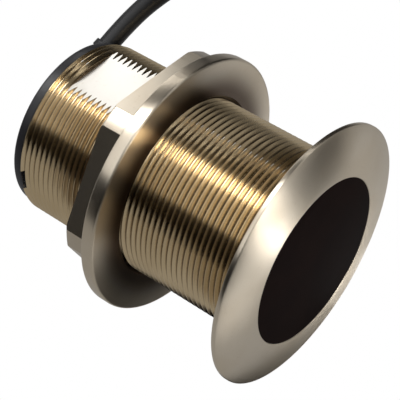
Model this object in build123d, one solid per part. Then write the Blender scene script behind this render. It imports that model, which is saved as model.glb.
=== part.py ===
from build123d import *
from math import cos, pi, radians, sin, tan
import os

# Bronze thru-hull sonar transducer, standing on its face, +Z up the stem. Lengths in millimetres.
# The origin is the centre of the face. The cable leaves the rear cap along +X.

# Housing: one bronze casting, a stem with a low flange round the face
stem_d = 63.5            # over the thread's crests, 2 1/2 inch
housing_h = 99.0         # face to the stem's rear rim
bore_d = 54.0
flange_d = 92.0
flange_t = 5.2           # face to the flange's back
rim_band = 1.6           # straight edge of the flange
face_lip = 1.0           # flat bronze ring round the window
window_d = 59.0
window_seat = 4.0        # depth of the recess that holds the window
thread_pitch = 25.4 / 12
thread_deep = 1.3
crest_w = thread_pitch / 8
runout_w = 2.4           # groove where the thread ends at the flange
rim_round = 0.4
rear_chamfer = 1.0
flats_across = 58.4
flat_length = 32.0
flat_to_rear = 6.3       # threads left behind the flats
notch_w = 7.9
notch_deep = 2.9
notch_turn = -143.5      # degrees from +X to the alignment notch; the flats are square to it

# Hull nut: one piece, a turned flange with a hexagon behind it
nut_gap = 0.1            # radial clearance on the stem
nut_place = 53.0         # front face, as the nut stands on the stem
nut_flange_d = 92.0
nut_band = 4.6           # straight edge of its flange
nut_slope = 2.6          # rise of the flange's back towards the hexagon
hex_across = 77.4
hex_corner_d = 85.6      # corners turned round
hex_height = 9.6         # from the straight edge's back to the rear face
hex_turn = 9.5           # degrees from the X axis
nut_chamfer = 0.9
bore_chamfer = 1.2

# Acoustic parts, stacked on a tilted seat in the window
tilt = 12.0
seat_height = 13.0       # of the tilted seat's centre over the face
element_d = 42.0
element_t = 10.0
sleeve_wall = 2.4
backing_t = 3.0
lead_spread = 8.0        # from the centre to each solder joint
joint_d = 2.6
joint_t = 0.8
lead_hole_d = 3.4
lead_d = 1.2

# Electronics
board_height = 36.0
board_d = 46.0
board_t = 1.6
board_notch_d = 6.0
core_d = 30.0
core_half = 9.2
core_wall = 2.4
core_floor = 2.6
core_post_d = 12.8
core_hole_d = 5.4
core_slot_w = 4.0
bobbin_gap = 0.1
bobbin_wall = 0.8
capacitor_size = (10.0, 4.5, 9.0)
resistor_size = (6.3, 2.5, 1.2)
resistor_step = 3.4      # from one resistor's centre to the next
part_ring = 18.4         # from the board's centre to the capacitor and the first resistor
thermistor_d = 2.8
thermistor_h = 5.0
thermistor_gap = 0.3     # from the bore's wall
thermistor_wire_d = 0.7
thermistor_wire_step = 1.4
conductor_d = 1.3
conductor_ring = 19.0
conductor_step = 13.0    # degrees between conductors
wire_count = 4
winding_wire_d = 0.9

# Rear cap with its side outlet
cap_gap = 0.05
cap_seat_d = 57.2
cap_seat_deep = 6.0
cap_d = 61.2
cap_t = 3.6
cap_round = 1.0
outlet_d = 12.6
outlet_rise = 6.4        # cable's axis over the cap's back
outlet_back = 6.0        # outlet's length behind the stem's axis
outlet_reach = 14.0
boot_length = 15.0
boot_droop = 12.0        # degrees that the cable's weight bends the boot
boot_base_d = 11.0
boot_tip_d = 8.6
boot_groove_w = 1.0
boot_groove_deep = 0.5
boot_grooves = 4

# Cable, coil and plug
cable_d = 7.0
first_run = 13.0         # straight stretch out of the boot
coil_columns = 4         # turns side by side
coil_layers = 9          # turns on each other
coil_mean_r = 43.3
coil_pitch = 7.06
coil_x = 147.0
coil_y = -4.0
stub_length = 24.0       # end of the cable that sinks into the coil
tie_w = 9.0
tie_t = 1.0
tie_turns = (60.0, 180.0)
plug_length = 46.0
plug_tail = 15.0         # tapered end of the plug's body
plug_tail_d = 9.0
plug_d = 18.0
plug_step = 1.2
plug_chamfer = 0.8
plug_nose = 10.0
plug_nose_d = 14.4
plug_nose_wall = 1.4
plug_flutes = 8
flute_d = 3.0
key_w = 2.4
key_deep = 0.9
insert_t = 3.0
pin_d = 1.2
pin_length = 6.0
pin_ring_d = 7.0
pin_count = 7
seal_d = 1.6
seal_gap = 0.03

# Worked out from the sizes above
stem_r = stem_d / 2
bore_r = bore_d / 2
flange_r = flange_d / 2
window_r = window_d / 2
cap_top = housing_h + cap_t
outlet_z = cap_top + outlet_rise
cable_r = cable_d / 2
plug_r = plug_d / 2
shoulder = plug_length - plug_nose
wide = 1000.0            # larger than the whole part, for cutting

RISE = (Align.CENTER, Align.CENTER, Align.MIN)


def turned(points):
    """Solid of revolution about Z from a closed outline of radius and height."""
    return revolve(make_face(Polyline(*[(r, 0, z) for r, z in points], close=True)), Axis.Z)


def disc(radius, low, high):
    return Pos(0, 0, low) * Cylinder(radius, high - low, align=RISE)


def slab(low, high, x_low, x_high, half_y):
    """Block between two heights, from x_low to x_high and half_y to each side."""
    block = Box(x_high - x_low, 2 * half_y, high - low, align=(Align.MIN, Align.CENTER, Align.MIN))
    return Pos(x_low, 0, low) * block


def tube_along(points, radii, diameter):
    """Round rod along straight runs joined by tangent arcs."""
    path = FilletPolyline(*points, radius=radii)
    start = Plane(origin=path @ 0, z_dir=path % 0)
    return sweep(start * Circle(diameter / 2), path=path)


def save(node, shape):
    """Writes one node, a solid or a list of solids, in one STEP file."""
    if isinstance(shape, list):
        shape = Compound(children=shape)
    shape.label = node
    export_step(shape, os.path.join("parts", node + ".step"))


def with_notch(shape):
    """Turns what is made with the alignment notch along -Y to where the notch is."""
    turn = Rot(0, 0, notch_turn + 90)
    if isinstance(shape, list):
        return [turn * each for each in shape]
    return turn * shape


# Housing
def make_housing():
    front = face_lip + window_r
    crown = ThreePointArc(
        (front, 0, 0),
        ((front + flange_r) / 2, 0, (flange_t - rim_band) / 2 - crown_rise()),
        (flange_r, 0, flange_t - rim_band),
    )
    outline = [
        (flange_r, flange_t - rim_band),
        (flange_r, flange_t - rim_round),
        (flange_r - rim_round, flange_t),
        (stem_r - thread_deep, flange_t),
        *thread_outline(flange_t + runout_w, housing_h - rear_chamfer),
        (stem_r, housing_h - rear_chamfer),
        (stem_r - rear_chamfer, housing_h),
        (cap_seat_d / 2, housing_h),
        (cap_seat_d / 2, housing_h - cap_seat_deep),
        (bore_r, housing_h - cap_seat_deep),
        (bore_r, window_seat),
        (window_r, window_seat),
        (window_r, 0),
        (front, 0),
    ]
    edge = Polyline(*[(r, 0, z) for r, z in outline])
    body = revolve(make_face([*crown.edges(), *edge.edges()]), Axis.Z)
    flat_top = housing_h - flat_to_rear
    for side in (1, -1):
        cut = slab(flat_top - flat_length, flat_top, flats_across / 2, wide, wide)
        body -= Rot(0, 0, 0 if side > 0 else 180) * cut
    notch = slab(housing_h - notch_deep, housing_h + notch_deep, bore_r, wide, notch_w / 2)
    return body - Rot(0, 0, -90) * notch


def thread_outline(low, high):
    """Teeth between two heights, one closed ring for each turn of the thread."""
    rise = (thread_pitch - crest_w) / 2
    count = int((high - low - rise) / thread_pitch) + 1
    points = []
    for index in range(count):
        root = low + index * thread_pitch
        if index:
            points.append((stem_r, root - rise))
        points.append((stem_r - thread_deep, root))
        points.append((stem_r, root + rise))
    return points


def crown_rise():
    """How far the flange's sloping ring bulges from the straight line between its edges."""
    return min(0.45, (flange_t - rim_band) / 8)


# Hull nut
def make_hull_nut():
    hole_r = stem_r + nut_gap
    back = nut_place + nut_band
    rear = back + hex_height
    flange = turned([
        (hole_r, nut_place),
        (nut_flange_d / 2 - nut_chamfer, nut_place),
        (nut_flange_d / 2, nut_place + nut_chamfer),
        (nut_flange_d / 2, back),
        (hex_across / 2 - 1, back + nut_slope),
        (hole_r, back + nut_slope),
    ])
    hexagon = extrude(RegularPolygon(hex_across / 2, 6, major_radius=False, rotation=30), rear - back)
    corners = turned([
        (0, back),
        (hex_corner_d / 2, back),
        (hex_corner_d / 2, rear - nut_chamfer),
        (hex_corner_d / 2 - nut_chamfer, rear),
        (0, rear),
    ])
    head = (Rot(0, 0, hex_turn) * Pos(0, 0, back) * hexagon) & corners
    hole = disc(hole_r, nut_place, rear)
    mouth = turned([(0, rear - bore_chamfer), (hole_r, rear - bore_chamfer), (hole_r + bore_chamfer, rear), (0, rear)])
    front = turned([
        (0, nut_place),
        (hole_r + bore_chamfer, nut_place),
        (hole_r, nut_place + bore_chamfer),
        (0, nut_place + bore_chamfer),
    ])
    return flange + head - hole - mouth - front


# Window and acoustic stack
def seat_location():
    """The tilted seat: its Z axis leans towards the notch."""
    lean = radians(tilt)
    return Location(Plane(origin=(0, 0, seat_height), x_dir=(1, 0, 0), z_dir=(0, -sin(lean), cos(lean))))


def make_window():
    body = disc(window_r, 0, window_seat) + disc(bore_r, window_seat, housing_h / 2)
    return body - seat_location() * Box(wide, wide, wide, align=RISE)


def on_seat(radius, low, high):
    return seat_location() * disc(radius, low, high)


def sleeve_height():
    return element_t + backing_t


def make_sleeve():
    height = sleeve_height()
    return on_seat(element_d / 2 + sleeve_wall, 0, height) - on_seat(element_d / 2, 0, height)


def make_backing():
    pad = on_seat(element_d / 2, element_t, sleeve_height())
    for side in (-1, 1):
        hole = Pos(side * lead_spread, 0, 0) * disc(lead_hole_d / 2, element_t, sleeve_height())
        pad -= seat_location() * hole
    return pad


def make_electrode_joints():
    return [
        seat_location() * Pos(side * lead_spread, 0, element_t) * disc(joint_d / 2, 0, joint_t)
        for side in (-1, 1)
    ]


def make_element_leads():
    leads = []
    for side in (-1, 1):
        start = seat_location() * Pos(side * lead_spread, 0, element_t + joint_t)
        corner = seat_location() * Pos(side * lead_spread, 0, sleeve_height() + 2 * lead_d)
        bend = corner.position
        end = Vector(bend.X, bend.Y, board_height)
        leads.append(tube_along([start.position, bend, end], 2 * lead_d, lead_d))
    return leads


# Electronics
def make_board():
    board = disc(board_d / 2, board_height, board_height + board_t)
    for turn in (45, 135, 225, 315):
        notch = Pos(board_d / 2, 0, 0) * disc(board_notch_d / 2, board_height, board_height + board_t)
        board -= Rot(0, 0, turn) * notch
    return board


def board_top():
    return board_height + board_t


def make_core(upper):
    inner = core_d / 2 - core_wall
    half = turned([
        (core_hole_d / 2, 0),
        (core_d / 2, 0),
        (core_d / 2, core_half),
        (inner, core_half),
        (inner, core_floor),
        (core_post_d / 2, core_floor),
        (core_post_d / 2, core_half),
        (core_hole_d / 2, core_half),
    ])
    half -= slab(core_floor, core_half, core_post_d / 2 + 1, wide, core_slot_w / 2)
    if upper:
        half = mirror(half, Plane.XY)
        return Pos(0, 0, board_top() + 2 * core_half) * half
    return Pos(0, 0, board_top()) * half


def bobbin_levels():
    low = board_top() + core_floor
    return low, low + 2 * (core_half - core_floor) - bobbin_gap


def make_bobbin():
    low, high = bobbin_levels()
    inner = core_post_d / 2 + bobbin_gap
    outer = core_d / 2 - core_wall - bobbin_gap
    return turned([
        (inner, low),
        (outer, low),
        (outer, low + bobbin_wall),
        (inner + bobbin_wall, low + bobbin_wall),
        (inner + bobbin_wall, high - bobbin_wall),
        (outer, high - bobbin_wall),
        (outer, high),
        (inner, high),
    ])


def winding_radii():
    return core_post_d / 2 + bobbin_gap + bobbin_wall, core_d / 2 - core_wall - 4 * bobbin_gap


def make_winding():
    """The coil, with its two ends out through the core's slot and down to the board."""
    low, high = bobbin_levels()
    inner, outer = winding_radii()
    winding = disc(outer, low + bobbin_wall, high - bobbin_wall) - disc(inner, low, high)
    reach = core_d / 2 + 1.5 * winding_wire_d
    height = board_top() + core_half
    for side in (-1, 1):
        y = side * winding_wire_d
        points = [(outer - winding_wire_d, y, height), (reach, y, height), (reach, y, board_top())]
        winding += tube_along(points, winding_wire_d, winding_wire_d)
    return winding


def make_capacitor():
    long, deep, tall = capacitor_size
    body = Pos(0, part_ring, board_top()) * Box(long, deep, tall, align=RISE)
    return fillet(body.edges().filter_by(Axis.Z), deep / 8)


def make_resistors():
    long, deep, tall = resistor_size
    return [
        Pos(0, -part_ring - (row - 0.5) * resistor_step, board_top()) * Box(long, deep, tall, align=RISE)
        for row in (0, 1)
    ]


def thermistor_place():
    """Centre of the bead, close to the bore, with its top one diameter under the board."""
    return bore_r - thermistor_gap - thermistor_d / 2, board_height - thermistor_d - thermistor_h


def make_thermistor():
    x, low = thermistor_place()
    bead = Pos(x, 0, low) * Cylinder(thermistor_d / 2, thermistor_h, align=RISE)
    return fillet(bead.edges().group_by(Axis.Z)[0], thermistor_d / 4)


def make_thermistor_leads():
    x, low = thermistor_place()
    top = low + thermistor_h
    middle = (top + board_height) / 2
    inward = board_d / 2 - thermistor_d
    wires = []
    for side in (-1, 1):
        y = side * thermistor_wire_step / 2
        points = [(x, y, top), (x, y, middle), (inward, y, middle), (inward, y, board_height)]
        wires.append(tube_along(points, thermistor_wire_d, thermistor_wire_d))
    return wires


def make_conductors():
    """Insulated wires from the board, past the transformer, up to the cap's underside."""
    low = board_top()
    high = housing_h - cap_seat_deep
    wires = []
    for index in range(wire_count):
        turn = (index - (wire_count - 1) / 2) * conductor_step
        side = (index - (wire_count - 1) / 2) * 2 * conductor_d
        x = conductor_ring * cos(radians(turn))
        y = conductor_ring * sin(radians(turn))
        bend_low = low + 2 * core_half + 8
        bend_high = high - 10
        points = [(x, y, low), (x, y, bend_low), (conductor_d, side, bend_high), (conductor_d, side, high)]
        wires.append(tube_along(points, 5 * conductor_d, conductor_d))
    return wires


def make_potting(inside):
    """Fills the stem from the window to the cap, round everything in it."""
    fill = disc(bore_r, window_seat, housing_h - cap_seat_deep)
    fill -= disc(core_d / 2, board_top(), board_top() + 2 * core_half)
    for piece in inside:
        fill -= piece
    return fill


# Rear cap, side outlet and boot
def make_rear_cap():
    body = disc(cap_seat_d / 2 - cap_gap, housing_h - cap_seat_deep, housing_h)
    flange = disc(cap_d / 2, housing_h, cap_top)
    body += fillet(flange.edges().group_by(Axis.Z)[-1], cap_round)
    length = outlet_back + outlet_reach
    pipe = Pos(-outlet_back, 0, outlet_z) * Rot(0, 90, 0) * Cylinder(outlet_d / 2, length, align=RISE)
    pipe += Pos(-outlet_back, 0, outlet_z) * Sphere(outlet_d / 2)
    pipe += Pos(-outlet_back, 0, 0) * disc(outlet_d / 2, cap_top - cap_round, outlet_z)
    pipe += slab(cap_top - cap_round, outlet_z, -outlet_back, outlet_reach, outlet_d / 2)
    return body + pipe


def boot_plane(distance):
    """Plane square to the boot's bent axis, at a distance from the outlet's end."""
    bend_r = boot_length / radians(boot_droop)
    turn = distance / bend_r
    origin = (outlet_reach + bend_r * sin(turn), 0, outlet_z - bend_r * (1 - cos(turn)))
    return Plane(origin=origin, x_dir=(0, 1, 0), z_dir=(cos(turn), 0, -sin(turn)))


def boot_r(distance):
    return (boot_base_d + (boot_tip_d - boot_base_d) * distance / boot_length) / 2


def make_cable_boot():
    """Tapered sleeve round the cable, with shallow rings so that it bends."""
    places = [boot_length * share / 4 for share in range(5)]
    boot = loft([boot_plane(place) * Circle(boot_r(place)) for place in places])
    step = boot_length / (boot_grooves + 1)
    for index in range(1, boot_grooves + 1):
        place = index * step
        inner = boot_r(place) - boot_groove_deep
        ring = Cylinder(inner + 2 * boot_groove_deep + 1, boot_groove_w) - Cylinder(inner, boot_groove_w)
        boot -= boot_plane(place) * ring
    return boot


# Cable
def corner_radii(points):
    """Radius at each corner: 0.45 of the shorter run over the tangent of half the turn."""
    radii = []
    for before, here, after in zip(points, points[1:], points[2:]):
        run_in = here - before
        run_out = after - here
        half_turn = radians(run_in.get_angle(run_out)) / 2
        radii.append(0.45 * min(run_in.length, run_out.length) / tan(half_turn))
    return radii


def make_cord(name, points):
    """Cable along a route; prints its radii, and its volume against section times length."""
    radii = corner_radii(points)
    cord = tube_along(points, radii, cable_d)
    length = FilletPolyline(*points, radius=radii).length
    share = cord.volume / (pi * cable_r ** 2 * length)
    print(name, "radii", [round(r, 1) for r in radii], "length", round(length, 1), "volume share", round(share, 4))
    return cord


def coil_top():
    return tie_t + (coil_layers - 1) * coil_pitch + cable_d


def coil_point(x, y, over):
    """Point given from the coil's centre and by its height over the coil's top."""
    return Vector(coil_x + x, coil_y + y, coil_top() + over)


def cable_points():
    """From the boot's tip in a falling bend to the coil's top. Chosen by hand."""
    tip = boot_plane(boot_length)
    return [
        tip.origin,
        tip.origin + tip.z_dir * first_run,
        tip.origin + Vector(26.4, -1.8, -10.4),
        tip.origin + Vector(38.9, -5.2, -21.1),
        coil_point(-62.0, -6.6, 12.5),
        coil_point(-49.0, -14.2, 6.9),
        coil_point(-36.4, -23.4, 4.3),
    ]


def tail_points():
    """From the coil's top round to the plug that lies on it. Chosen by hand."""
    return [
        coil_point(41.5, -24.0, 3.7),
        coil_point(46.0, -12.3, 5.1),
        coil_point(46.7, 0.2, 6.8),
        coil_point(43.4, 12.3, 8.3),
        coil_point(36.6, 22.8, plug_r),
        coil_point(26.9, 30.6, plug_r),
    ]


def coil_ring(grow):
    """The tied turns as one ring, thicker by grow all round."""
    across = (coil_columns - 1) * coil_pitch + cable_d + 2 * grow
    tall = coil_top() - tie_t + 2 * grow
    section = Pos(coil_mean_r, (coil_top() + tie_t) / 2) * RectangleRounded(across, tall, cable_r + grow)
    return Pos(coil_x, coil_y, 0) * revolve(Plane.XZ * section, Axis.Z)


def stub(end, beside):
    """The cable's last stretch, straight on from its end into the coil."""
    return Plane(origin=end, z_dir=end - beside) * Cylinder(cable_r, stub_length, align=RISE)


def make_cable_coil():
    cable = cable_points()
    tail = tail_points()
    return coil_ring(0) + stub(cable[-1], cable[-2]) + stub(tail[0], tail[1])


def make_coil_tie(turn):
    """Strap round the turns at one place."""
    band = coil_ring(tie_t) - coil_ring(0)
    window = Pos(coil_mean_r, 0, coil_top() / 2) * Box(coil_mean_r, tie_w, 2 * coil_top())
    return band & (Pos(coil_x, coil_y, 0) * Rot(0, 0, turn) * window)


# Plug, made along +Z from the cable's end
def on_cable_end(shape):
    points = tail_points()
    return Plane(origin=points[-1], z_dir=points[-1] - points[-2]) * shape


def make_plug_body():
    nose_r = plug_nose_d / 2
    bore = nose_r - plug_nose_wall
    body = turned([
        (0, 0),
        (plug_tail_d / 2, 0),
        (plug_r - plug_step, plug_tail),
        (plug_r, plug_tail + plug_step),
        (plug_r, shoulder - plug_chamfer),
        (plug_r - plug_chamfer, shoulder),
        (nose_r, shoulder),
        (nose_r, plug_length - plug_nose_wall / 2),
        (nose_r - plug_nose_wall / 2, plug_length),
        (bore, plug_length),
        (bore, shoulder),
        (0, shoulder),
    ])
    flute = disc(flute_d / 2, plug_tail + 2 * plug_step + flute_d / 2, shoulder - 2 * plug_chamfer - flute_d / 2)
    for index in range(plug_flutes):
        body -= Rot(0, 0, 360 * index / plug_flutes) * Pos(plug_r + flute_d / 4, 0, 0) * flute
    return body - slab(shoulder + plug_nose / 2, wide, nose_r - key_deep, wide, key_w / 2)


def pin_places():
    """Pins on a ring, one place left free for the key."""
    return [360 * (index + 1) / (pin_count + 1) for index in range(pin_count)]


def make_plug_pins():
    pin = disc(pin_d / 2, shoulder, shoulder + insert_t + pin_length)
    pin = fillet(pin.edges().group_by(Axis.Z)[-1], pin_d / 4)
    return [Rot(0, 0, turn) * Pos(pin_ring_d / 2, 0, 0) * pin for turn in pin_places()]


def make_plug_insert():
    insert = disc(plug_nose_d / 2 - plug_nose_wall, shoulder, shoulder + insert_t)
    hole = disc(pin_d / 2, shoulder, shoulder + insert_t)
    for turn in pin_places():
        insert -= Rot(0, 0, turn) * Pos(pin_ring_d / 2, 0, 0) * hole
    return insert


def make_plug_seal():
    middle = plug_nose_d / 2 + seal_d / 2 + seal_gap
    return Pos(0, 0, shoulder + seal_d / 2 + seal_gap) * Torus(middle, seal_d / 2)


# Everything
os.makedirs("parts", exist_ok=True)

inner = {
    "acoustic_window": make_window(),
    "ceramic_element": on_seat(element_d / 2, 0, element_t),
    "element_sleeve": make_sleeve(),
    "backing_pad": make_backing(),
    "electrode_joints": make_electrode_joints(),
    "element_leads": make_element_leads(),
    "circuit_board": make_board(),
    "transformer_core_lower": make_core(False),
    "transformer_core_upper": make_core(True),
    "transformer_bobbin": make_bobbin(),
    "transformer_winding": make_winding(),
    "tuning_capacitor": make_capacitor(),
    "id_resistors": make_resistors(),
    "thermistor": make_thermistor(),
    "thermistor_leads": make_thermistor_leads(),
    "conductors": make_conductors(),
}
embedded = []
for piece in inner.values():
    embedded += piece if isinstance(piece, list) else [piece]
inner["potting_compound"] = make_potting(embedded)

for node, shape in inner.items():
    save(node, with_notch(shape))
save("housing", with_notch(make_housing()))
save("hull_nut", make_hull_nut())
save("rear_cap", make_rear_cap())
save("cable_boot", make_cable_boot())
save("cable", make_cord("cable", cable_points()))
save("cable_coil", make_cable_coil())
save("cable_tail", make_cord("tail", tail_points()))
for number, turn in enumerate(tie_turns, 1):
    save(f"coil_tie_{number}", make_coil_tie(turn))
save("plug_body", on_cable_end(make_plug_body()))
save("plug_insert", on_cable_end(make_plug_insert()))
save("plug_pins", [on_cable_end(pin) for pin in make_plug_pins()])
save("plug_seal", on_cable_end(make_plug_seal()))
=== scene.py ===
from math import ceil, cos, hypot, pi, radians, sin

import bmesh
import bpy
from mathutils import Matrix, Vector


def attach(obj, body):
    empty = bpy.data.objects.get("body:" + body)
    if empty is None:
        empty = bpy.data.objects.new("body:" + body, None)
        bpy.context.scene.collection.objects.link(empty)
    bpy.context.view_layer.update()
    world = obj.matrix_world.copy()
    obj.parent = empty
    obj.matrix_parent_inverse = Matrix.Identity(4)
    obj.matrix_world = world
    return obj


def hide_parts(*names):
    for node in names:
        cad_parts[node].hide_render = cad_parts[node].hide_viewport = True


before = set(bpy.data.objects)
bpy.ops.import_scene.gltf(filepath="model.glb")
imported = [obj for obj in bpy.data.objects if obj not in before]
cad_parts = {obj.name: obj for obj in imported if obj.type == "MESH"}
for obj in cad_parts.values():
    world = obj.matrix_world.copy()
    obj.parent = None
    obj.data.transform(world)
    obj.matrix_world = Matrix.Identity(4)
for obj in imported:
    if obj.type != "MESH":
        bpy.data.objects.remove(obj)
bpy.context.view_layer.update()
scene = bpy.context.scene
scene.view_settings.view_transform = "Standard"


# Camera
# It looks up at the face from below and in front, with a long lens. It is rolled, so that the stem
# runs from the lower right, where the face is, to the upper left, as in the photograph.
lens = bpy.data.cameras.new("camera")
lens.lens = 126
camera = bpy.data.objects.new("camera", lens)
camera.location = (-0.0014, -0.4106, -0.1606)
camera.rotation_euler = (radians(135.094), radians(50.595), radians(37.784))
scene.collection.objects.link(camera)
scene.camera = camera


# Housing
# One bronze casting: the stem, and the low flange round the face. A lathe turns it and cuts the
# thread over the whole stem, 12 turns to the inch. Then two wrench flats are milled, and a notch in
# the rear rim that shows which way the ceramic inside leans.
facets = 144             # round the stem and every turned shape

stem_top = 0.099
rear_chamfer = 0.001
bore_r = 0.027
bore_bevel = 0.0003
cap_seat_r = 0.0286
cap_seat_low = 0.093
flange_r = 0.046
flange_back = 0.0052
rim_low = 0.0039         # where the rim's straight edge starts
rim_round = 0.0004
face_slope = [(0.0430, 0.0025), (0.0400, 0.0016), (0.0370, 0.0009), (0.0340, 0.0004), (0.0320, 0.00013)]
face_flat_r = 0.0305     # inside this radius the face is flat
window_r = 0.0295
window_bevel = 0.00015
window_seat = 0.004      # depth of the recess that holds the window

pitch = 0.0254 / 12
crest_r = 0.03175
root_r = 0.03045
crest_half = 0.00009     # half the width of the crest's flat
crest_drop = 0.00008     # depth of the crest's rounding
crest_reach = 0.00017    # half the crest's width with its rounding
root_rise = 0.00012      # height of the root's rounding
root_reach = 0.00021     # half the root's width with its rounding
groove_top = 0.0076      # the thread starts at the top of a groove behind the flange

flat_low = 0.0607
flat_high = 0.0927
flat_half = 0.0292       # half the distance across the flats
notch_turn = radians(-143.5)
notch_w = 0.0079
notch_deep = 0.0029
notch_inside = 0.002     # how far its cutter reaches into the bore
flat_turns = [notch_turn + pi / 2, notch_turn - pi / 2]

weld = 1e-6              # points closer than this are one
helix_weld = 1e-5        # the same for the thread, whose turns meet less exactly
plane_slack = 1e-7       # points this near a cutting plane lie on it


def wire(shape, outline, closed=False):
    """Vertices and edges along an outline of radius and height."""
    corners = [shape.verts.new((radius, 0, height)) for radius, height in outline]
    ends = corners[1:] + corners[:1] if closed else corners[1:]
    return corners + [shape.edges.new(pair) for pair in zip(corners, ends)]


def cut_off(shape, point, away):
    """Takes away what is beyond a plane and returns the new open edges."""
    cut = bmesh.ops.bisect_plane(
        shape, geom=[*shape.verts, *shape.edges, *shape.faces], dist=plane_slack,
        plane_co=point, plane_no=away, clear_outer=True,
    )
    return [each for each in cut["geom_cut"] if isinstance(each, bmesh.types.BMEdge)]


def make_thread(low, high):
    """Right-hand thread between two heights: a rack of rounded teeth that climbs one pitch in its turn."""
    shape = bmesh.new()
    middle = pitch / 2
    tooth = [
        (root_r, 0),
        (root_r + root_rise, root_reach),
        (crest_r - crest_drop, middle - crest_reach),
        (crest_r, middle - crest_half),
        (crest_r, middle + crest_half),
        (crest_r - crest_drop, middle + crest_reach),
        (root_r + root_rise, pitch - root_reach),
    ]
    start = low - 1.5 * pitch
    count = ceil((high - start) / pitch)
    rack = [(radius, start + index * pitch + height) for index in range(count) for radius, height in tooth]
    bmesh.ops.spin(
        shape, geom=wire(shape, rack), axis=(0, 0, 1), angle=2 * pi, steps=facets,
        dvec=(0, 0, pitch / facets),
    )
    bmesh.ops.remove_doubles(shape, verts=shape.verts, dist=helix_weld)
    cut_off(shape, (0, 0, low), (0, 0, -1))
    cut_off(shape, (0, 0, high), (0, 0, 1))
    return shape


def limit_radius(vertex, most):
    """Turns a vertex down to a radius, keeping its height."""
    radius = hypot(vertex.co.x, vertex.co.y)
    if radius > most:
        vertex.co.x *= most / radius
        vertex.co.y *= most / radius


def open_ring(shape, height):
    """Edges of the open rim at a height."""
    return [
        edge for edge in shape.edges
        if edge.is_boundary and all(abs(vertex.co.z - height) < weld for vertex in edge.verts)
    ]


def pull_ring(shape, ring, radius, height):
    """Extrudes an open rim to another radius and height and returns the new rim."""
    made = bmesh.ops.extrude_edge_only(shape, edges=ring)["geom"]
    for vertex in made:
        if isinstance(vertex, bmesh.types.BMVert):
            share = radius / hypot(vertex.co.x, vertex.co.y)
            vertex.co = (vertex.co.x * share, vertex.co.y * share, height)
    return [edge for edge in made if isinstance(edge, bmesh.types.BMEdge) and edge.is_boundary]


def arc(centre_r, centre_z, radius, start, end, steps):
    """Points of an arc in the radius and height plane, from one angle in degrees to another."""
    turns = [radians(start + (end - start) * step / steps) for step in range(steps + 1)]
    return [(centre_r + radius * cos(turn), centre_z + radius * sin(turn)) for turn in turns]


def block(shape, x_low, x_high, half_width, low, high, turn):
    """Adds a box that reaches out along X between two heights, then is turned about the stem's axis."""
    size = Matrix.Diagonal((x_high - x_low, 2 * half_width, high - low, 1))
    place = Matrix.Translation(((x_low + x_high) / 2, 0, (low + high) / 2))
    bmesh.ops.create_cube(shape, size=1, matrix=Matrix.Rotation(turn, 4, "Z") @ place @ size)


def into_scene(name, shape):
    """Makes a finished shape an object of the scene."""
    mesh = bpy.data.meshes.new(name)
    shape.to_mesh(mesh)
    shape.free()
    thing = bpy.data.objects.new(name, mesh)
    scene.collection.objects.link(thing)
    return thing


def combined(shape, tool, operation):
    """Result of a boolean on two closed shapes."""
    things = []
    for each in (shape, tool):
        bmesh.ops.recalc_face_normals(each, faces=each.faces)
        things.append(into_scene("stock", each))
    change = things[0].modifiers.new("change", "BOOLEAN")
    change.object = things[1]
    change.operation = operation
    change.solver = "EXACT"
    result = things[0].evaluated_get(bpy.context.evaluated_depsgraph_get())
    made = bmesh.new()
    made.from_mesh(bpy.data.meshes.new_from_object(result))
    bmesh.ops.recalc_face_normals(made, faces=made.faces)
    for each in things:
        bpy.data.objects.remove(each)
    return made


def outwards(turn):
    """Level direction at an angle about the stem's axis."""
    return Vector((cos(turn), sin(turn), 0))


def mark_milled(shape, turns):
    """Marks the flat faces that look out at given angles as cut by a milling cutter."""
    aligned = 0.9999     # lowest cosine between such a face's normal and its direction
    layer = shape.faces.layers.float.new("milled")
    shape.normal_update()
    for face in shape.faces:
        face[layer] = any(face.normal.dot(outwards(turn)) > aligned for turn in turns)
    for edge in shape.edges:
        edge.smooth = len({face[layer] for face in edge.link_faces}) == 1


stem = make_thread(groove_top, stem_top)
for vertex in stem.verts:
    limit_radius(vertex, root_r + vertex.co.z - groove_top)
    limit_radius(vertex, crest_r + stem_top - rear_chamfer - vertex.co.z)
rim = open_ring(stem, groove_top)
for radius, height in [
    *arc(root_r + rim_round, flange_back + rim_round, rim_round, 180, 270, 3),
    *arc(flange_r - rim_round, flange_back - rim_round, rim_round, 90, 0, 3),
    *arc(flange_r - rim_round, rim_low, rim_round, 0, -72, 3),
    *face_slope,
    (face_flat_r, 0), (window_r + window_bevel, 0), (window_r, window_bevel), (window_r, window_seat),
    (bore_r, window_seat), (bore_r, cap_seat_low), (cap_seat_r, cap_seat_low),
    (cap_seat_r, stem_top - bore_bevel), (cap_seat_r + bore_bevel, stem_top),
]:
    rim = pull_ring(stem, rim, radius, height)
bmesh.ops.bridge_loops(stem, edges=open_ring(stem, stem_top))

cutters = bmesh.new()
for turn in flat_turns:
    block(cutters, flat_half, 2 * flat_half, flat_half, flat_low, flat_high, turn)
notch_low = stem_top - notch_deep
notch_high = stem_top + notch_deep
block(cutters, bore_r - notch_inside, 2 * bore_r, notch_w / 2, notch_low, notch_high, notch_turn)
stem = combined(stem, cutters, "DIFFERENCE")
mark_milled(stem, flat_turns)


class Link:
    """Output of a shader node. Arithmetic on it adds Math nodes."""

    def __init__(self, finish, socket):
        self.finish = finish
        self.socket = socket

    def math(self, operation, *values):
        return self.finish.node("Math", {"operation": operation}, dict(enumerate(values)))

    def __add__(self, other):
        return self.math("ADD", self, other)

    def __sub__(self, other):
        return self.math("SUBTRACT", self, other)

    def __rsub__(self, other):
        return self.math("SUBTRACT", other, self)

    def __mul__(self, other):
        return self.math("MULTIPLY", self, other)

    __radd__ = __add__
    __rmul__ = __mul__


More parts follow.
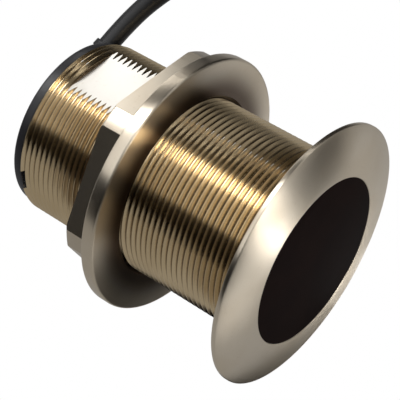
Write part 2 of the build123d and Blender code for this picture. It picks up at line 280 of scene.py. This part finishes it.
class Finish:
    """The nodes of a material or the world. Patterns lie by the object's own coordinates, in metres."""

    def __init__(self, owner):
        self.owner = owner
        owner.use_nodes = True
        self.tree = owner.node_tree

    def node(self, kind, settings, values, output=0):
        """Adds a node, sets it up, then joins or sets its sockets."""
        node = self.tree.nodes.new("ShaderNode" + kind)
        for name, value in settings.items():
            setattr(node, name, value)
        for name, value in values.items():
            self.join(node.inputs[name], value)
        return Link(self, node.outputs[output])

    def join(self, socket, value):
        """Links a socket to a node's output, or sets it to a plain value."""
        if isinstance(value, Link):
            self.tree.links.new(value.socket, socket)
        else:
            socket.default_value = value

    def place(self):
        return self.node("TexCoord", {}, {}, "Object")

    def noise(self, scale, detail):
        return self.node("TexNoise", {}, {"Vector": self.place(), "Scale": scale, "Detail": detail}, "Fac")

    def radius(self):
        """Distance from the stem's axis."""
        flat = self.node("Mapping", {}, {"Vector": self.place(), "Scale": (1, 1, 0)})
        return self.node("VectorMath", {"operation": "LENGTH"}, {0: flat}, "Value")

    def height(self):
        return self.node("SeparateXYZ", {}, {0: self.place()}, "Z")

    def step(self, value, low, high):
        """Rises smoothly from 0 where the value is low to 1 where it is high."""
        settings = {"interpolation_type": "SMOOTHSTEP"}
        return self.node("MapRange", settings, {"Value": value, "From Min": low, "From Max": high})

    def blend(self, share, one, other):
        """Colour that goes from one to the other as the share goes from 0 to 1."""
        return self.node("Mix", {"data_type": "RGBA"}, {0: share, 6: one, 7: other}, 2)

    def bump(self, height, distance):
        return self.node("Bump", {}, {"Height": height, "Distance": distance})

    def shade(self, **values):
        """Sets the surface's sockets: base_color becomes Base Color."""
        surface = self.tree.nodes["Principled BSDF"]
        for name, value in values.items():
            self.join(surface.inputs[name.replace("_", " ").title().replace("Ior", "IOR")], value)
        return self.owner


def tint(red, green, blue):
    """Colour from 0 to 255 as seen on a screen, turned into the shader's linear numbers."""
    return (*[((each / 255 + 0.055) / 1.055) ** 2.4 for each in (red, green, blue)], 1)


satin_shades = (tint(221, 209, 190), tint(213, 199, 177))
gold_shades = (tint(222, 200, 162), tint(210, 187, 148))
milled_shade = tint(232, 228, 220)
root_shade = tint(84, 62, 40)
# Painted shade: the dark given to the nut's face round its bore, where it meets the stem.
painted_bore_shade = tint(66, 45, 29)
speck_shade = tint(170, 148, 118)

fade = 0.0006            # width over which one finish passes into the next
root_fade = (0.0304, 0.0310)      # radii where the brown of the thread's roots ends
stem_fade = (0.0340, 0.0350)      # radii beyond which a milled flat isn't paler, as on the nut
painted_shade_fade = (0.0345, 0.0455)      # radii where the shade painted round a bore ends
ring_depth = 0.00003
grain_depth = 0.000006


def bronze(name, turned_low, turned_high, thread_from, painted_shade_amount):
    """Satin bronze, turned between two radii, so that its highlights lie across the tool's rings.

    Above the height thread_from it is threaded, deeper in colour and dull at the roots. Milled flats
    are paler, and the last argument says how much shade is painted onto the metal towards the bore."""
    finish = Finish(bpy.data.materials.new(name))
    radius = finish.radius()
    cloud = finish.noise(scale=45, detail=3)
    speck = finish.noise(scale=900, detail=2)
    grain = finish.noise(scale=1500, detail=2)
    along_radius = {"W": radius, "Scale": 2600, "Detail": 2}
    rings = finish.node("TexNoise", {"noise_dimensions": "1D"}, along_radius, "Fac")
    patch = finish.step(cloud, 0.35, 0.7)
    milled = finish.node("Attribute", {"attribute_name": "milled"}, {}, "Fac")
    thread = finish.step(finish.height(), thread_from, thread_from + fade) * (1 - milled)
    root = (1 - finish.step(radius, *root_fade)) * thread
    # Painted shade: darker towards the bore, where the nut's face meets the stem.
    painted_shade_near_bore = (1 - finish.step(radius, *painted_shade_fade)) * (1 - thread) * (1 - milled)
    within = 1 - finish.step(radius, turned_high - fade, turned_high)
    turned = finish.step(radius, turned_low, turned_low + fade) * within
    colour = finish.blend(patch, *satin_shades)
    colour = finish.blend(milled * (1 - finish.step(radius, *stem_fade)), colour, milled_shade)
    colour = finish.blend(thread, colour, finish.blend(patch, *gold_shades))
    colour = finish.blend(root * 0.85, colour, root_shade)
    colour = finish.blend(painted_shade_near_bore * painted_shade_amount, colour, painted_bore_shade)
    colour = finish.blend(finish.step(speck, 0.62, 0.8) * 0.15, colour, speck_shade)
    return finish.shade(
        base_color=colour, metallic=1.0, anisotropic=0.8, anisotropic_rotation=0.25,
        roughness=0.27 + 0.06 * cloud + 0.04 * speck - 0.11 * thread + 0.06 * root,
        normal=finish.bump(grain * grain_depth + rings * turned * ring_depth, 1.0),
    )


crease = radians(32)     # edges sharper than this stay sharp


def add_piece(name, shape, material, body, nodes):
    """Makes a finished shape a piece of the object, smooth except at its sharp edges."""
    bmesh.ops.recalc_face_normals(shape, faces=shape.faces)
    for face in shape.faces:
        face.smooth = True
    for edge in shape.edges:
        if edge.calc_face_angle(pi) > crease:
            edge.smooth = False
    piece = into_scene(name, shape)
    piece.data.materials.append(material)
    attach(piece, body)
    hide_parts(*nodes)
    return piece


housing_bronze = bronze(
    "housing_bronze", turned_low=0.0325, turned_high=0.0458, thread_from=flange_back, painted_shade_amount=0
)
add_piece("bronze_housing", stem, housing_bronze, "housing", ["housing"])


# Hull nut
# Bronze too, turned and milled from one casting: a wide flange that bears on the hull's inside,
# and a hexagon behind it for the wrench. Its back slopes up to the hexagon.
nut_hole_r = 0.03185
mouth = 0.0012           # chamfer of the threaded hole
nut_r = 0.046
nut_front = 0.053
nut_front_round = 0.0009
nut_rim_back = 0.0576
nut_back_round = 0.0004
nut_slope_back = 0.0602
slope_in = 0.001         # how far the slope reaches in under the hexagon's flats
head_low = nut_rim_back + 0.0004      # the hexagon starts inside the flange, so that the two join
nut_rear = 0.0672
hex_half = 0.0387
hex_corner_r = 0.0428
hex_corner_round = 0.0009
hex_turn = radians(9.5)
hex_turns = [hex_turn + side * pi / 3 for side in range(6)]
never = 1.0              # a height past the object, so no thread shows in the metal


def spun(outline):
    """Ring or disc, spun from an outline of radius and height. A disc's outline starts on the axis."""
    shape = bmesh.new()
    lines = wire(shape, outline, closed=outline[0][0] > 0)
    bmesh.ops.spin(shape, geom=lines, axis=(0, 0, 1), angle=2 * pi, steps=facets, use_merge=True)
    bmesh.ops.remove_doubles(shape, verts=shape.verts, dist=weld)
    return shape


nut = spun([
    (nut_hole_r, nut_front + mouth),
    (nut_hole_r + mouth, nut_front),
    *arc(nut_r - nut_front_round, nut_front + nut_front_round, nut_front_round, -90, 0, 4),
    *arc(nut_r - nut_back_round, nut_rim_back - nut_back_round, nut_back_round, 0, 72, 3),
    (hex_half - slope_in, nut_slope_back),
    (nut_hole_r, nut_slope_back),
])
head = spun([
    (nut_hole_r, head_low),
    (hex_corner_r, head_low),
    *arc(hex_corner_r - hex_corner_round, nut_rear - hex_corner_round, hex_corner_round, 0, 90, 3),
    (nut_hole_r + mouth, nut_rear),
    (nut_hole_r, nut_rear - mouth),
])
for turn in hex_turns:
    edges = cut_off(head, outwards(turn) * hex_half, outwards(turn))
    bmesh.ops.holes_fill(head, edges=edges)
nut = combined(nut, head, "UNION")
mark_milled(nut, hex_turns)
# The nut's face gets painted shade round its bore, where it meets the stem.
nut_bronze = bronze(
    "nut_bronze", turned_low=0.0325, turned_high=0.0455, thread_from=never, painted_shade_amount=0.9
)
add_piece("bronze_hull_nut", nut, nut_bronze, "hull_nut", ["hull_nut"])


# Acoustic window
# Black urethane, cast flush into the face in front of the ceramic. It is moulded against a plate, so
# it is flat and has a fine satin grain. Its back, which is the ceramic's tilted seat, is out of sight
# and left flat here.
window_gap = 0.00001     # keeps it just clear of the bronze
window_back = 0.0055
window_edge = [(window_r - 0.0003, 0), (window_r - 0.0001, 0.0001), (window_r - window_gap, 0.0004)]
window_shades = (tint(25, 14, 12), tint(31, 19, 16))


def moulded(name, shades, rough, grain, depth, metallic=0.0, gloss=0.4):
    """Moulded, cast or drawn material: two close shades in soft patches and a fine grain."""
    finish = Finish(bpy.data.materials.new(name))
    cloud = finish.noise(scale=60, detail=3)
    fine = finish.noise(scale=grain, detail=2)
    return finish.shade(
        base_color=finish.blend(finish.step(cloud, 0.3, 0.75), *shades),
        metallic=metallic,
        roughness=rough - 0.05 + 0.1 * cloud,
        normal=finish.bump(fine, depth),
        specular_ior_level=gloss,
    )


window = spun([
    (0, 0),
    *window_edge,
    (window_r - window_gap, window_seat - window_gap),
    (bore_r - window_gap, window_seat - window_gap),
    (bore_r - window_gap, window_back),
    (0, window_back),
])
urethane = moulded("face_urethane", window_shades, rough=0.6, grain=1800, depth=0.00002, gloss=0.02)
add_piece("urethane_window", window, urethane, "housing", ["acoustic_window"])


# Rear cap
# Moulded from black polymer and bonded into its seat in the stem's rear end.
# It seals the stem, and its outlet turns the cable out sideways.
cap_edge = 0.0006        # width of its rounded edges
cap_shades = (tint(24, 24, 28), tint(34, 33, 38))
flat = radians(0.5)      # triangles that differ less than this are one face
sharp = radians(40)      # edges over this are rounded


def softened(name, width):
    """Copy of a frame piece: its loose triangles joined, its flats made one face, its edges rounded."""
    shape = bmesh.new()
    shape.from_mesh(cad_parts[name].data)
    bmesh.ops.remove_doubles(shape, verts=shape.verts, dist=weld)
    bmesh.ops.dissolve_limit(shape, angle_limit=flat, verts=shape.verts, edges=shape.edges)
    edges = [edge for edge in shape.edges if edge.is_manifold and edge.calc_face_angle(0) > sharp]
    bmesh.ops.bevel(
        shape, geom=edges, offset=width, segments=2, profile=0.5,
        affect="EDGES", clamp_overlap=True, material=-1,
    )
    return shape


cap_polymer = moulded("cap_polymer", cap_shades, rough=0.38, grain=1400, depth=0.00003)
cap = softened("rear_cap", cap_edge)
add_piece("side_outlet_cap", cap, cap_polymer, "housing", ["rear_cap"])


# Cable boot
# Soft black rubber, moulded over the cable where it leaves the cap. It tapers, and the shallow rings
# cut round it let the cable bend without a kink.
boot_edge = 0.0002
boot_shades = (tint(22, 22, 23), tint(30, 30, 32))
boot_rubber = moulded("boot_rubber", boot_shades, rough=0.55, grain=2200, depth=0.00003)
boot = softened("cable_boot", boot_edge)
add_piece("ringed_boot", boot, boot_rubber, "housing", ["cable_boot"])


# Coil ties
# Two straps of black nylon, pulled round the turns of the spare cable.
# They hold the coil together until the cable is laid.
tie_edge = 0.0003
tie_shades = (tint(20, 20, 22), tint(30, 30, 32))
tie_nylon = moulded("tie_nylon", tie_shades, rough=0.35, grain=900, depth=0.00003)
for number in (1, 2):
    node = f"coil_tie_{number}"
    strap = softened(node, tie_edge)
    add_piece(f"nylon_tie_{number}", strap, tie_nylon, "housing", [node])


# Plug
# Round connector on the cable's end: a fluted plastic body, an insulator with seven pins pressed
# into it, and a rubber seal round its nose.
shell_edge = 0.0003
small_edge = 0.0001      # on the pieces inside the shell
shell_shades = (tint(26, 26, 29), tint(36, 36, 40))
insulator_shades = (tint(60, 60, 62), tint(74, 74, 76))
pin_shades = (tint(232, 206, 140), tint(214, 184, 118))
seal_shades = (tint(60, 24, 20), tint(76, 32, 26))

plug_shell = moulded("plug_shell", shell_shades, rough=0.4, grain=1300, depth=0.00003)
plug_insulator = moulded("plug_insulator", insulator_shades, rough=0.5, grain=2000, depth=0.00001)
contact_metal = moulded("contact_metal", pin_shades, rough=0.22, grain=2600, depth=0.000004, metallic=1.0)
seal_rubber = moulded("seal_rubber", seal_shades, rough=0.5, grain=2600, depth=0.00001)
for node, width, slot, material in (
    ("plug_body", shell_edge, "plug_shell", plug_shell),
    ("plug_insert", small_edge, "plug_insulator", plug_insulator),
    ("plug_pins", small_edge, "contact_metal", contact_metal),
    ("plug_seal", small_edge, "seal_rubber", seal_rubber),
):
    add_piece("connector_" + node, softened(node, width), material, "housing", [node])


# Cable
# Ten metres of round cable in an extruded black jacket. It droops from the boot to the coil of spare
# cable beside the object, goes round on its top, down and up in four columns of turns, and ends at
# the plug, which lies on the coil.
cable_d = 0.007
coil_centre = (0.147, -0.004)
coil_low = 0.0045        # centre of the lowest turns
layers = 9
turn_pitch = 0.00706
coil_columns = ((0.05389, layers), (0.04683, layers - 1), (0.03977, layers - 1), (0.03271, layers + 0.25))
first_turn = -28.0       # where the coil's own turns start, in degrees from +X
per_turn = 16            # control points in a turn
swell = 1 / cos(pi / per_turn)      # they stand this much outside the turns
jacket_shades = (tint(24, 24, 26), tint(33, 33, 35))

route = [
    (0.02889, 0, 0.10743), (0.04161, 0, 0.10473), (0.05529, -0.0018, 0.09703), (0.06779, -0.0052, 0.08633),
    (0.0850, -0.0106, 0.07698), (0.0980, -0.0182, 0.07138), (0.1106, -0.0274, 0.06878),
]
# A place on the coil is an angle in degrees, a radius from the coil's centre and a height.
onto_coil = [
    (-135, 0.0417, 0.0684), (-119, 0.0420, 0.0682), (-101, 0.0440, 0.0681),
    (-83, 0.0472, 0.0681), (-65, 0.0507, 0.0681), (-47, 0.0535, 0.0680),
]
off_coil = [(-76, 0.0356, 0.0697), (-61, 0.0393, 0.0691), (-46, 0.0433, 0.0685)]
tail = [
    (0.1885, -0.0280, 0.06818), (0.1930, -0.0163, 0.06958), (0.1937, -0.0038, 0.07128),
    (0.1904, 0.0083, 0.07278), (0.1836, 0.0188, 0.07348), (0.1739, 0.0266, 0.07348),
]


def on_coil(turn, radius, height):
    """Point at a place on the coil."""
    x, y = coil_centre
    return x + radius * cos(radians(turn)), y + radius * sin(radians(turn)), height


def coil_turns():
    """The tied turns: down the outer column, then up and down again, and up the inner one."""
    made = []
    turn = first_turn
    step = 360 / per_turn
    height = coil_low + layers * turn_pitch
    for column, (radius, turns) in enumerate(coil_columns):
        if column > 0:
            outer = coil_columns[column - 1][0]
            for share in (0.3, 0.7):
                made.append(on_coil(turn, (outer + (radius - outer) * share) * swell, height))
                turn += step
        rise = turn_pitch / per_turn * (1 if column % 2 else -1)
        count = int(turns * per_turn)
        for index in range(count + 1):
            made.append(on_coil(turn + index * step, radius * swell, height + index * rise))
        turn += (count + 1) * step
        height += count * rise
    return made


points = [*route, *[on_coil(*place) for place in onto_coil], *coil_turns()]
points += [*[on_coil(*place) for place in off_coil], *tail]

curve = bpy.data.curves.new("signal_cable", "CURVE")
curve.dimensions = "3D"
curve.bevel_depth = cable_d / 2
curve.bevel_resolution = 4
curve.resolution_u = 6
curve.use_fill_caps = True
spline = curve.splines.new("NURBS")
spline.points.add(len(points) - 1)
for knot, point in zip(spline.points, points):
    knot.co = (*point, 1)
spline.order_u = 3
spline.use_endpoint_u = True
spline.use_smooth = True

jacket = moulded("cable_jacket", jacket_shades, rough=0.42, grain=1600, depth=0.00002)
curve.materials.append(jacket)
cable = bpy.data.objects.new("signal_cable", curve)
scene.collection.objects.link(cable)
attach(cable, "housing")
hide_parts("cable", "cable_coil", "cable_tail")


# Acoustic stack
# A piezo ceramic disc with two solder joints, in a sleeve of cork and rubber with a cork disc behind
# it, bonded to the window's back. It and the rest that is sealed inside keep the frame's shapes, and
# only their materials are made here.
inner_depth = 0.00002


def dress(name, nodes, one, other, rough, grain, metallic=0.0):
    """Gives pieces of the frame a material of their own."""
    material = moulded(name, (one, other), rough, grain, inner_depth, metallic)
    for node in nodes:
        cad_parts[node].material_slots[0].material = material


dress("piezo_ceramic", ["ceramic_element"], tint(206, 200, 186), tint(190, 183, 168), 0.5, 900)
dress("cork_rubber", ["element_sleeve", "backing_pad"], tint(150, 112, 74), tint(92, 66, 44), 0.85, 500)
dress("solder", ["electrode_joints"], tint(190, 190, 192), tint(165, 165, 168), 0.3, 1200, 1.0)


# Wires
# Copper wires in red insulation: two from the ceramic to the board, two from the thermistor, and the
# cable's own, which come down from the cap. They are soldered to the board.
wires = ["element_leads", "thermistor_leads", "conductors"]
dress("wire_insulation", wires, tint(170, 30, 28), tint(150, 24, 24), 0.4, 1500)


# Tuning board
# A round board across the bore, with a capacitor, resistors that identify the unit, and a transformer:
# a copper winding on a plastic bobbin between two halves of a ferrite core. Under the board, close to
# the bore, hangs the bead that measures the water's temperature.
core = ["transformer_core_lower", "transformer_core_upper"]
dress("board_laminate", ["circuit_board"], tint(30, 92, 52), tint(24, 76, 44), 0.4, 1500)
dress("ferrite", core, tint(48, 46, 46), tint(38, 37, 38), 0.55, 1200)
dress("bobbin_plastic", ["transformer_bobbin"], tint(60, 58, 56), tint(50, 48, 46), 0.5, 1200)
dress("copper_winding", ["transformer_winding"], tint(200, 110, 66), tint(176, 88, 50), 0.3, 1600, 1.0)
dress("capacitor_film", ["tuning_capacitor"], tint(170, 60, 34), tint(150, 50, 30), 0.4, 900)
dress("resistor_body", ["id_resistors"], tint(40, 40, 42), tint(30, 30, 32), 0.45, 900)
dress("thermistor_bead", ["thermistor"], tint(34, 34, 30), tint(24, 24, 22), 0.35, 900)


# Potting
# Dark resin, poured in from the rear before the cap goes on.
# It fills the stem round everything else.
dress("potting_resin", ["potting_compound"], tint(40, 36, 30), tint(30, 27, 24), 0.4, 600)


# Studio
# A white room. The floor shows only from above, because the camera looks up from under it.
# Dark cards and softboxes stand round the object and draw the long bands on the metal.
middle = Vector((0, 0, 0.045))      # of the object, which the cards face
wrench_flat = Vector((0.0174, -0.0235, 0.081))
hex_flat = Vector((-0.0136, -0.0363, 0.063))
nut_rim = Vector((-0.044, -0.010, 0.058))
floor_height = -0.0003   # just under the face
floor_half = 20
floor_white = (0.9, 0.9, 0.9, 1)
room_light = 0.6         # strength of the white room where it lights the object
key_distance = 0.9


def stage_thing(name, shape, finish, surface):
    """Puts a shape in the scene as part of the studio, with a surface shader of its own."""
    nodes = finish.tree.nodes
    nodes.remove(nodes["Principled BSDF"])
    finish.join(nodes["Material Output"].inputs["Surface"], surface)
    thing = into_scene(name, shape)
    thing.data.materials.append(finish.owner)
    return thing


def glow(name, shape, brightness):
    """Evenly glowing shape of the studio that only glossy surfaces see."""
    finish = Finish(bpy.data.materials.new(name))
    light = finish.node("Emission", {}, {"Color": (brightness, brightness, brightness, 1)})
    thing = stage_thing(name, shape, finish, light)
    thing.visible_camera = False
    thing.visible_diffuse = False
    thing.visible_shadow = False
    thing.visible_transmission = False


def toward(azimuth, elevation):
    """Direction from the object: azimuth in degrees from -Y towards +X, elevation over the floor."""
    level = cos(radians(elevation))
    return Vector((level * sin(radians(azimuth)), -level * cos(radians(azimuth)), sin(radians(elevation))))


def card(name, azimuth, elevation, distance, width, height, brightness, faced=middle):
    """Flat card or softbox that faces the object's middle, or another place on it."""
    out = toward(azimuth, elevation)
    place = Matrix.Translation(faced + out * distance)
    turn = out.to_track_quat("Z", "Y").to_matrix().to_4x4()
    size = Matrix.Diagonal((width, height, 1, 1))
    shape = bmesh.new()
    bmesh.ops.create_grid(shape, x_segments=1, y_segments=1, size=0.5, matrix=place @ turn @ size)
    glow(name, shape, brightness)


ground = bmesh.new()
below = Matrix.Translation((0, 0, floor_height))
bmesh.ops.create_grid(ground, x_segments=1, y_segments=1, size=floor_half, matrix=below)
floor_finish = Finish(bpy.data.materials.new("floor_white"))
seen = floor_finish.node("LightPath", {}, {}, "Is Camera Ray")
back = floor_finish.node("NewGeometry", {}, {}, "Backfacing")
white = floor_finish.node("BsdfDiffuse", {}, {"Color": floor_white})
clear = floor_finish.node("BsdfTransparent", {}, {})
surface = floor_finish.node("MixShader", {}, {0: seen * (1 - back), 1: clear, 2: white})
stage_thing("floor", ground, floor_finish, surface)

world = bpy.data.worlds.new("studio")
scene.world = world
room = Finish(world)
seen = room.node("LightPath", {}, {}, "Is Camera Ray")
for ray in ("Is Glossy Ray", "Is Transmission Ray"):
    other = room.node("LightPath", {}, {}, ray)
    seen = room.node("Math", {"operation": "MAXIMUM"}, {0: seen, 1: other})
backdrop = room.tree.nodes["Background"]
room.join(backdrop.inputs["Color"], (1, 1, 1, 1))
room.join(backdrop.inputs["Strength"], room.node("MapRange", {}, {"Value": seen, "To Min": room_light}))

light = bpy.data.lights.new("key", "AREA")
light.shape = "SQUARE"
light.size = 0.5
light.energy = 2
key = bpy.data.objects.new("key", light)
out = toward(azimuth=28, elevation=50)
key.location = middle + out * key_distance
key.rotation_euler = out.to_track_quat("Z", "Y").to_euler()
key.visible_glossy = False
scene.collection.objects.link(key)

dome = bmesh.new()
bmesh.ops.create_uvsphere(dome, u_segments=48, v_segments=24, radius=3)
glow("grey_dome", dome, brightness=0.36)

# Cards that face the object's middle: name, azimuth, elevation, distance, width, height, brightness
for setting in (
    ("front_soft", -3, 8, 0.95, 0.66, 1.6, 1.05),
    ("key_strip", 27, 10, 0.9, 0.24, 1.4, 7.6),
    ("left_flag", -43, 0, 0.85, 0.60, 3.2, 0.0),
    ("right_slot", 51, 0, 0.85, 0.36, 2.6, 0.06),
    ("second_strip", 71, 0, 0.82, 0.05, 2.4, 2.2),
    ("right_flag", 108, 5, 0.8, 0.75, 1.3, 0.14),
    ("camera_gap", -4, -33, 0.7, 0.34, 0.26, 0.03),
    ("under_light", 90, -83, 0.8, 0.60, 0.18, 3.5),
    ("under_flag", -90, -71, 0.8, 0.60, 0.30, 0.0),
    ("fan_light", 180, -50, 0.9, 0.05, 0.46, 6.5),
    ("low_soft", -160, -52, 0.9, 0.40, 0.30, 1.15),
    ("right_soft", 167, -28, 0.9, 0.30, 0.20, 0.56),
    ("back_flag", -166, -9, 0.8, 0.36, 0.34, 0.28),
    ("rim_light", 178, 2, 0.8, 0.04, 0.26, 1.5),
    ("face_flag", 150, -48, 0.6, 0.34, 0.20, 0.0),
):
    card(*setting)

# Small cards close to the metal, each facing a place on it
card("flat_light", 75, 31, 0.07, 0.036, 0.033, 1.9, wrench_flat)
card("hex_glow", -42, 30, 0.07, 0.055, 0.02, 0.025, hex_flat)
card("disc_flag", -175, -28, 0.09, 0.08, 0.060, 0.0, nut_rim)
